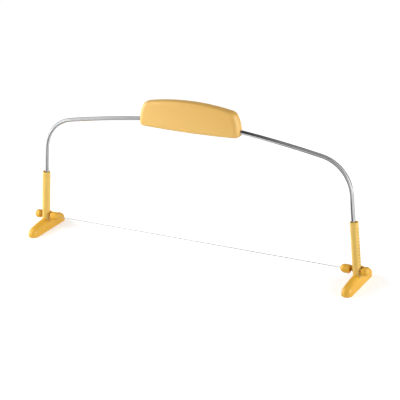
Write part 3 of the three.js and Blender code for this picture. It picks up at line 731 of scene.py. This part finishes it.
def make_grip():
    """The grip's two shells: one hollow loaf with the rod's way cut through, parted in the middle."""
    loaf = grip_loaf("grip_front", 0.0)
    carve(loaf, grip_loaf("hollow", GRIP_WALL))
    carve(loaf, bent_rod("rod_way", ROD_RADIUS + FIT, ROD_WAY_SIDES))
    rear = copy_of(loaf, "grip_rear")
    gap = GRIP_SEAM / 2
    carve(loaf, box("behind", (-GRIP_CUT, -gap, 0), (GRIP_CUT, GRIP_CUT, GRIP_CUT)))
    carve(rear, box("before", (-GRIP_CUT, -GRIP_CUT, 0), (GRIP_CUT, gap, GRIP_CUT)))
    for side in (-1, 1):
        head_room, shank_room = SCREW_HEAD_RADIUS + FIT, SCREW_RADIUS + FIT
        carve(rear, screw_bar("head_way", side, head_room, SCREW_SEAT - FIT, SCREW_WAY),
              screw_bar("shank_way", side, shank_room, -OVERRUN, SCREW_WAY))
    for shell in (loaf, rear):
        finish_normals(shell)
        smooth(shell, degrees=30)
    return loaf, rear


def make_screw(side):
    """A pan-head screw with ridges for its thread and a cross recess, its head at the back."""
    thread = []
    place = SCREW_SEAT - SCREW_LENGTH + SCREW_LEAD
    while place < SCREW_SEAT - THREAD_PITCH:
        thread += [(SCREW_ROOT, place), (SCREW_RADIUS, place + THREAD_RISE),
                   (SCREW_ROOT, place + 2 * THREAD_RISE)]
        place += THREAD_PITCH
    brow = SCREW_SEAT + SCREW_HEAD_SIDE
    screw = turned(f"screw_{'right' if side > 0 else 'left'}", [
        (SCREW_POINT, SCREW_SEAT - SCREW_LENGTH), *thread, (SCREW_RADIUS, SCREW_SEAT),
        (SCREW_HEAD_RADIUS, SCREW_SEAT + SLIVER), (SCREW_HEAD_RADIUS, brow),
        *dome(SCREW_HEAD_RADIUS, SCREW_HEAD_HEIGHT - SCREW_HEAD_SIDE, brow, tip=0.1)[1:],
    ], axis="Y", sides=SCREW_SIDES, at=screw_place(side))
    x, _, z = screw_place(side)
    floor = SCREW_SEAT + CROSS_FLOOR
    outside = floor + 3 * OVERRUN
    for long, wide in ((CROSS_LONG, CROSS_WIDE), (CROSS_WIDE, CROSS_LONG)):
        carve(screw, box("slot", (x - long, floor, z - wide), (x + long, outside, z + wide)))
    finish_normals(screw)
    smooth(screw, degrees=35)
    return screw


# Tints

PALE_AMBER = (0.825, 0.525, 0.145, 1)
# The grip's deep tone, also laid on as painted shade over its top and right end
PALE_DEEP_AND_SHADE = (0.75, 0.44, 0.105, 1)
POST_AMBER = (0.79, 0.525, 0.12, 1)
POST_DEEP = (0.72, 0.44, 0.085, 1)
DEEP_AMBER = (0.78, 0.435, 0.040, 1)
DEEP_SHADE = (0.68, 0.34, 0.026, 1)
SCUFF_TINT = (0.62, 0.47, 0.26, 1)
# Dust and painted shade in the posts' notches
DUST_AND_SHADE_TINT = (0.36, 0.19, 0.035, 1)
PLATE_BRIGHT = (0.78, 0.785, 0.80, 1)
PLATE_DULL = (0.66, 0.665, 0.68, 1)
WIRE_TINT = (0.62, 0.63, 0.64, 1)
FERRULE_TINT = (0.58, 0.58, 0.58, 1)
TARNISH_TINT = (0.42, 0.41, 0.39, 1)
ZINC_BRIGHT = (0.56, 0.57, 0.58, 1)
ZINC_DULL = (0.44, 0.45, 0.45, 1)

# Textures, in cells to the metre
FLOW_CELLS = 38
SPECK_CELLS = 2600
SHEEN_CELLS = 240
GRAIN_CELLS = 3400
PORE_CELLS = 900
SCRATCH_CELLS = 900
ROD_LINE_CELLS = 1800
ROD_HAZE_CELLS = 26
WIRE_LINE_CELLS = 2400
TARNISH_CELLS = 60
CRYSTAL_CELLS = 1600

# How deep the reliefs are and the light sinks into plastic, and up to where the feet are scuffed
GRAIN_DEPTH = 0.004 * MM
ROD_LINE_DEPTH = 0.003 * MM
WIRE_LINE_DEPTH = 0.002 * MM
CRYSTAL_DEPTH = 0.004 * MM
GLOW_DEPTH = 1.2 * MM
SCUFF_HEIGHT = 3.0 * MM


# Materials

class Value:
    """A socket of a material, so that maths on it is written as a Python expression."""

    def __init__(self, finish, socket):
        self.finish = finish
        self.socket = socket

    def maths(self, operation, first, second):
        """The result of one sum on two values."""
        return self.finish.node("ShaderNodeMath", {"operation": operation}, {0: first, 1: second})

    def __add__(self, other):
        return self.maths("ADD", self, other)

    def __mul__(self, other):
        return self.maths("MULTIPLY", self, other)

    def __sub__(self, other):
        return self.maths("SUBTRACT", self, other)

    def __rsub__(self, other):
        return self.maths("SUBTRACT", other, self)

    def __pow__(self, other):
        return self.maths("POWER", self, other)


class Finish:
    """One material, built node by node."""

    def __init__(self, name):
        self.material = bpy.data.materials.new(name)
        self.material.use_nodes = True
        self.tree = self.material.node_tree
        self.tree.nodes.clear()
        self.place = self.node("ShaderNodeTexCoord", {}, {}, "Object")

    def node(self, kind, settings, sockets, output=0):
        """Adds a node with its settings and inputs, and gives one of its outputs."""
        node = self.tree.nodes.new(kind)
        for key, value in settings.items():
            if key == "stops":
                self.set_stops(node.color_ramp, value)
            else:
                setattr(node, key, value)
        for key, value in sockets.items():
            if isinstance(value, Value):
                self.tree.links.new(value.socket, node.inputs[key])
            else:
                node.inputs[key].default_value = value
        return Value(self, node.outputs[output])

    def set_stops(self, ramp, stops):
        """Puts a ramp's stops at their positions, each with its shade of grey."""
        while len(ramp.elements) < len(stops):
            ramp.elements.new(0.5)
        for element, (position, shade) in zip(ramp.elements, stops):
            element.position = position
            element.color = (shade, shade, shade, 1)

    def noise(self, scale, detail, place=None):
        """Clouds of values between 0 and 1."""
        sockets = {"Vector": place or self.place, "Scale": scale, "Detail": detail}
        return self.node("ShaderNodeTexNoise", {}, sockets)

    def ramp(self, value, *stops):
        """A value turned into grey by stops, each a position and a shade."""
        return self.node("ShaderNodeValToRGB", {"stops": stops}, {0: value})

    def blend(self, share, first, second):
        """The first colour with a share of the second laid over it."""
        settings = {"data_type": "RGBA"}
        return self.node("ShaderNodeMix", settings, {0: share, 6: first, 7: second}, 2)

    def stretched(self, size, place=None):
        """The place scaled along each axis: a small size draws a texture out that way."""
        return self.node("ShaderNodeMapping", {}, {"Vector": place or self.place, "Scale": size})

    def coordinate(self, axis):
        """How far a point lies along X, Y or Z, for the axis 0, 1 or 2."""
        return self.node("ShaderNodeSeparateXYZ", {}, {0: self.place}, axis)

    def attribute(self, name, output):
        """A value that the mesh keeps for each of its points or faces."""
        return self.node("ShaderNodeAttribute", {"attribute_name": name}, {}, output)

    def seen(self):
        """One for rays straight from the camera, and zero for all others."""
        return self.node("ShaderNodeLightPath", {}, {}, "Is Camera Ray")

    def end(self, shader):
        """Ends the material in a shader."""
        output = self.tree.nodes.new("ShaderNodeOutputMaterial")
        self.tree.links.new(shader.socket, output.inputs["Surface"])
        return self.material

    def close(self, relief, depth, **sockets):
        """Ends the material in a surface with a relief, its sockets' names with underscores."""
        named_sockets = {key.replace("_", " "): value for key, value in sockets.items()}
        bump = {"Height": relief, "Distance": depth, "Strength": 1.0}
        named_sockets["Normal"] = self.node("ShaderNodeBump", {}, bump)
        return self.end(self.node("ShaderNodeBsdfPrincipled", {}, named_sockets))


def moulded_plastic(name, colour, deep, rough=0.4, scuffed=False, painted_top_shade=False, dust_and_painted_shade=False):
    """Satin moulded plastic: slow shifts of shade, fine pigment specks and a spark-eroded grain."""
    finish = Finish(name)
    flow = finish.ramp(finish.noise(FLOW_CELLS, 2), (0.3, 0.0), (0.7, 1.0))
    specks = finish.ramp(finish.noise(SPECK_CELLS, 2), (0.58, 0.0), (0.72, 1.0))
    shade = finish.blend(flow * 0.35, colour, deep)
    shade = finish.blend(specks * 0.12, shade, deep)
    gloss = finish.noise(SHEEN_CELLS, 3) * 0.12 + (rough - 0.06)
    skin = finish.noise(GRAIN_CELLS, 2) + finish.noise(PORE_CELLS, 2) * 0.6
    if scuffed:
        # scratches from front to back, near the sole only
        low = finish.ramp(finish.coordinate(2) * (0.5 / SCUFF_HEIGHT), (0.05, 1.0), (0.5, 0.0))
        scratches = finish.noise(SCRATCH_CELLS, 4, finish.stretched((1.0, 0.12, 1.0)))
        worn = low * finish.ramp(scratches, (0.5, 0.0), (0.62, 1.0))
        shade = finish.blend(worn * 0.35, shade, SCUFF_TINT)
        gloss = gloss + worn * 0.25
    if painted_top_shade:
        # painted shade: the grip is darkened towards its top and its right end, as if less light fell
        # there
        up = (finish.coordinate(2) - GRIP_SHADE_START) * (0.8 / (GRIP_SHADE_FULL - GRIP_SHADE_START))
        painted_shade_rise = up + finish.coordinate(0) * (0.25 / GRIP_HALF_LENGTH)
        shade = finish.blend(finish.ramp(painted_shade_rise, (0.0, 0.0), (0.95, 1.0)) * 0.9, shade, deep)
    if dust_and_painted_shade:
        # dust and painted shade darken the notches
        sunk = finish.attribute("recess", "Fac")
        shade = finish.blend(sunk * (flow * 0.2 + 0.35), shade, DUST_AND_SHADE_TINT)
        gloss = gloss + sunk * 0.2
    return finish.close(
        skin, GRAIN_DEPTH, Base_Color=shade, Roughness=gloss, Subsurface_Weight=0.1,
        Subsurface_Radius=(1.0, 0.55, 0.2), Subsurface_Scale=GLOW_DEPTH,
        Specular_IOR_Level=0.5, IOR=1.5)


def plated_rod():
    """Bright plating over drawn rod: faint lines along it, with hazier places."""
    finish = Finish("plated_rod")
    drawn = finish.attribute("drawn", "Vector")
    lines = finish.noise(ROD_LINE_CELLS, 3, finish.stretched((0.02, 1.0, 1.0), drawn))
    clouds = finish.noise(ROD_HAZE_CELLS, 3, finish.stretched((1.0, 0.2, 0.2), drawn))
    haze = finish.ramp(clouds, (0.45, 0.0), (0.75, 1.0))
    shade = finish.blend(lines * 0.25, PLATE_BRIGHT, PLATE_DULL)
    gloss = lines * 0.05 + haze * 0.06 + 0.05
    return finish.close(lines, ROD_LINE_DEPTH, Base_Color=shade, Metallic=1.0, Roughness=gloss)


def drawn_steel(name, colour, rough):
    """Plain steel with fine lines along X from the drawing, and a little tarnish."""
    finish = Finish(name)
    lines = finish.noise(WIRE_LINE_CELLS, 3, finish.stretched((0.05, 1.0, 1.0)))
    tarnish = finish.ramp(finish.noise(TARNISH_CELLS, 3), (0.4, 0.0), (0.8, 1.0))
    shade = finish.blend(tarnish * 0.3, colour, TARNISH_TINT)
    gloss = lines * 0.12 + tarnish * 0.08 + rough
    return finish.close(lines, WIRE_LINE_DEPTH, Base_Color=shade, Metallic=1.0, Roughness=gloss)


def zinc_plate():
    """Zinc plating, with fine crystals that differ in tone."""
    finish = Finish("zinc_plate")
    cells = {"Vector": finish.place, "Scale": CRYSTAL_CELLS}
    crystals = finish.node("ShaderNodeTexVoronoi", {}, cells, "Color")
    tone = finish.node("ShaderNodeSeparateColor", {}, {0: crystals})
    shade = finish.blend(tone * 0.4, ZINC_BRIGHT, ZINC_DULL)
    gloss = tone * 0.1 + 0.28
    return finish.close(tone, CRYSTAL_DEPTH, Base_Color=shade, Metallic=1.0, Roughness=gloss)


def dress(piece, material, slot, body, *nodes):
    """Gives a piece its material, hides the nodes it stands for and puts it under its body's empty;
    the slot is not used.
    """
    piece.data.materials.clear()
    piece.data.materials.append(material)
    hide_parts(*nodes)
    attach(piece, body)


# Stage

# The camera's place in metres, its angles in degrees, the width of its sensor in millimetres, and
# its focal length in widths of the picture
CAMERA_PLACE = (0.600805, -1.116248, 0.539838)
CAMERA_AZIMUTH = 27.956
CAMERA_ELEVATION = 20.839
CAMERA_ROLL = -1.307
SENSOR_WIDTH = 36
FOCUS = 1423.257 / 400

# How bright the surroundings are as light and as the camera sees them, and the floor's size, its
# matt shade, what the camera sees on top of it, and the plain white it sees farther off
WORLD_LIGHT = 0.3
WORLD_SEEN = 1.0
FLOOR_SIZE = 12
FLOOR_SHADE = 0.86
FLOOR_LIFT = 0.42
FLOOR_WHITE = 1.03

# Each light: name, place, what it faces, size, power, and whether bright metal mirrors it
SOFTBOXES = [
    ("left_box", (-1.6, -0.4, 0.55), (0, 0, 0.08), (1.2, 1.0), 24, True),
    ("right_box", (1.6, 0.1, 0.5), (0, 0, 0.08), (1.2, 0.9), 22, True),
    ("front_box", (-0.3, -1.9, 0.7), (0, 0, 0.08), (1.4, 0.9), 3, False),
    ("key", (-0.5, -0.42, 0.36), (-0.06, 0, 0.12), (0.3, 0.3), 2.0, False),
]

# Each card: name, place, what it faces, size and brightness
CARDS = [
    ("overhead_black", (-0.1, -0.15, 0.36), (-0.1, 0, 0.13), (0.25, 0.7), 0.002),
    ("behind_black", (-0.06, 0.24, 0.42), (-0.06, 0, 0.13), (0.25, 0.4), 0.002),
    ("front_black", (-0.11, -0.38, 0.2), (-0.11, 0, 0.16), (0.2, 0.2), 0.002),
    ("left_low_white", (-1.0, -0.8, 0.12), (0, -0.8, 0.12), (1.3, 0.5), 1.2),
    ("left_wide_white", (-1.3, -0.45, 0.6), (0, -0.45, 0.6), (1.8, 1.3), 1.0),
    ("left_grey", (-1.2, 0.2, 0.45), (0, 0.2, 0.45), (1.1, 0.9), 0.3),
    ("left_front_white", (-0.37, -0.26, 0.28), (-0.1, 0, 0.125), (0.16, 0.3), 0.75),
    ("right_low_white", (1.0, -0.55, 0.25), (0, -0.55, 0.12), (1.2, 0.6), 1.2),
    ("right_wide_white", (1.3, -0.2, 0.6), (0, -0.2, 0.6), (1.8, 1.3), 1.0),
    ("right_grey", (1.2, 0.3, 0.45), (0, 0.3, 0.45), (1.0, 0.9), 0.3),
    ("right_high_white", (0.51, -0.21, 0.56), (0.15, -0.21, 0.11), (0.3, 0.6), 1.0),
    ("left_white", (-0.72, -0.1, 0.88), (-0.09, 0, 0.13), (0.6, 1.4), 1.0),
    ("right_floor_black", (0.085, -0.14, 0.001), (0.085, -0.14, 1.0), (0.19, 0.3), 0.05),
    ("left_floor_grey", (-0.16, -0.16, 0.002), (-0.16, -0.16, 1.0), (0.3, 0.3), 0.3),
]


def aimed(thing, place, target):
    """Puts a thing at a place and turns it towards a target."""
    thing.location = place
    thing.rotation_euler = (Vector(target) - Vector(place)).to_track_quat("-Z", "Y").to_euler()


def softbox(name, place, target, size, power, mirrored_in_gloss):
    """A rectangular studio light."""
    light = bpy.data.lights.new(name, "AREA")
    light.shape = "RECTANGLE"
    light.size, light.size_y = size
    light.energy = power
    lamp = bpy.data.objects.new(name, light)
    bpy.context.scene.collection.objects.link(lamp)
    lamp.visible_glossy = mirrored_in_gloss
    aimed(lamp, place, target)


def flag(name, place, target, size, shade):
    """A card with soft rims that only reflections see, as set round bright metal in a studio."""
    bpy.ops.mesh.primitive_plane_add(size=1)
    panel = bpy.context.object
    panel.name = name
    panel.scale = (size[0], size[1], 1)
    aimed(panel, place, target)
    finish = Finish(name)
    glow = finish.node("ShaderNodeEmission", {}, {"Strength": shade})
    clear = finish.node("ShaderNodeBsdfTransparent", {}, {})
    across, along = (1 - (finish.coordinate(axis) * 2) ** 4 for axis in (0, 1))
    mixed = finish.node("ShaderNodeMixShader", {}, {0: across * along, 1: clear, 2: glow})
    panel.data.materials.append(finish.end(mixed))
    panel.visible_camera = False
    panel.visible_diffuse = False
    panel.visible_shadow = False
    panel.visible_transmission = False


def lay_floor():
    """A pale floor with the shadows, lifted for the camera alone, and plain white farther off."""
    bpy.ops.mesh.primitive_plane_add(size=FLOOR_SIZE, location=(0, 0, 0))
    floor = bpy.context.object
    floor.name = "floor"
    finish = Finish("floor")
    tint = (FLOOR_SHADE, FLOOR_SHADE, FLOOR_SHADE, 1)
    matt = finish.node("ShaderNodeBsdfDiffuse", {}, {"Color": tint})
    seen = finish.seen()
    lift = finish.node("ShaderNodeEmission", {}, {"Strength": seen * FLOOR_LIFT})
    lifted = finish.node("ShaderNodeAddShader", {}, {0: matt, 1: lift})
    plain = finish.node("ShaderNodeEmission", {}, {"Strength": seen * FLOOR_WHITE})
    squared_reach = finish.coordinate(0) ** 2 + finish.coordinate(1) ** 2
    far = seen * finish.ramp(squared_reach, (0.1, 0.0), (0.5, 1.0))
    mixed = finish.node("ShaderNodeMixShader", {}, {0: far, 1: lifted, 2: plain})
    floor.data.materials.append(finish.end(mixed))
    finish.material.cycles.emission_sampling = "NONE"


def light_world():
    """A soft grey all round, which the camera sees as white."""
    world = bpy.data.worlds.new("studio")
    bpy.context.scene.world = world
    world.use_nodes = True
    tree = world.node_tree
    path = tree.nodes.new("ShaderNodeLightPath")
    level = tree.nodes.new("ShaderNodeMapRange")
    level.inputs["To Min"].default_value = WORLD_LIGHT
    level.inputs["To Max"].default_value = WORLD_SEEN
    tree.links.new(path.outputs["Is Camera Ray"], level.inputs["Value"])
    background = tree.nodes["Background"]
    background.inputs["Color"].default_value = (1, 1, 1, 1)
    tree.links.new(level.outputs["Result"], background.inputs["Strength"])


def place_camera():
    """The camera as it was fitted to the photograph."""
    angles = (CAMERA_AZIMUTH, CAMERA_ELEVATION, CAMERA_ROLL)
    azimuth, elevation, roll = (math.radians(angle) for angle in angles)
    ahead = Vector((-math.sin(azimuth) * math.cos(elevation),
                    math.cos(azimuth) * math.cos(elevation), -math.sin(elevation)))
    level = Vector((math.cos(azimuth), math.sin(azimuth), 0))
    above = level.cross(ahead)
    right = level * math.cos(roll) + above * math.sin(roll)
    up = above * math.cos(roll) - level * math.sin(roll)
    data = bpy.data.cameras.new("camera")
    data.sensor_width = SENSOR_WIDTH
    data.lens = SENSOR_WIDTH * FOCUS
    data.clip_end = 50
    camera = bpy.data.objects.new("camera", data)
    bpy.context.scene.collection.objects.link(camera)
    turn = Matrix((right, up, -ahead)).transposed().to_4x4()
    camera.matrix_world = Matrix.Translation(CAMERA_PLACE) @ turn
    bpy.context.scene.camera = camera


# The whole object

place_camera()
bpy.context.scene.view_settings.view_transform = "Standard"
light_world()
lay_floor()
for settings in SOFTBOXES:
    softbox(*settings)
for settings in CARDS:
    flag(*settings)

# The grip's colour carries painted shade on its top and its right end
grip_plastic = moulded_plastic("grip_plastic", PALE_AMBER, PALE_DEEP_AND_SHADE, rough=0.45, painted_top_shade=True)
post_plastic = moulded_plastic("post_plastic", POST_AMBER, POST_DEEP, dust_and_painted_shade=True)
foot_plastic = moulded_plastic("foot_plastic", DEEP_AMBER, DEEP_SHADE, rough=0.42, scuffed=True)
hook_plastic = moulded_plastic("hook_plastic", DEEP_AMBER, DEEP_SHADE, rough=0.38)
chrome = plated_rod()
wire_steel = drawn_steel("wire_steel", WIRE_TINT, 0.2)
ferrule_steel = drawn_steel("ferrule_steel", FERRULE_TINT, 0.28)
zinc = zinc_plate()

dress(make_rod(), chrome, "rod_chrome", "frame", "bow_rod")
front, rear = make_grip()
dress(front, grip_plastic, "grip_plastic", "frame", "handle_front_shell")
dress(rear, grip_plastic, "grip_plastic", "frame", "handle_rear_shell")
for side, word in ((1, "right"), (-1, "left")):
    dress(make_screw(side), zinc, "screw_steel", "frame", f"handle_screw_{word}")

rights = {
    "post": (make_post(), post_plastic, "post_plastic", "frame", "notched_post"),
    "foot_block": (make_foot(), foot_plastic, "foot_plastic", "frame", "foot"),
    "hook": (make_hook(), hook_plastic, "hook_plastic", "hook", "wire_hook"),
    "ferrule": (make_ferrule(), ferrule_steel, "wire_steel", "wire", "wire_ferrule"),
}
for word, (piece, material, slot, body, node) in rights.items():
    twin = mirrored(piece, f"{word}_left")
    for thing, side in ((piece, "right"), (twin, "left")):
        if word == "post":
            apply_modifier(thing, "WEIGHTED_NORMAL", keep_sharp=True)
        carrier = f"{body}_{side}" if body == "hook" else body
        dress(thing, material, slot, carrier, f"{node}_{side}")
dress(make_wire(), wire_steel, "wire_steel", "wire", "cutting_wire")

put_down()
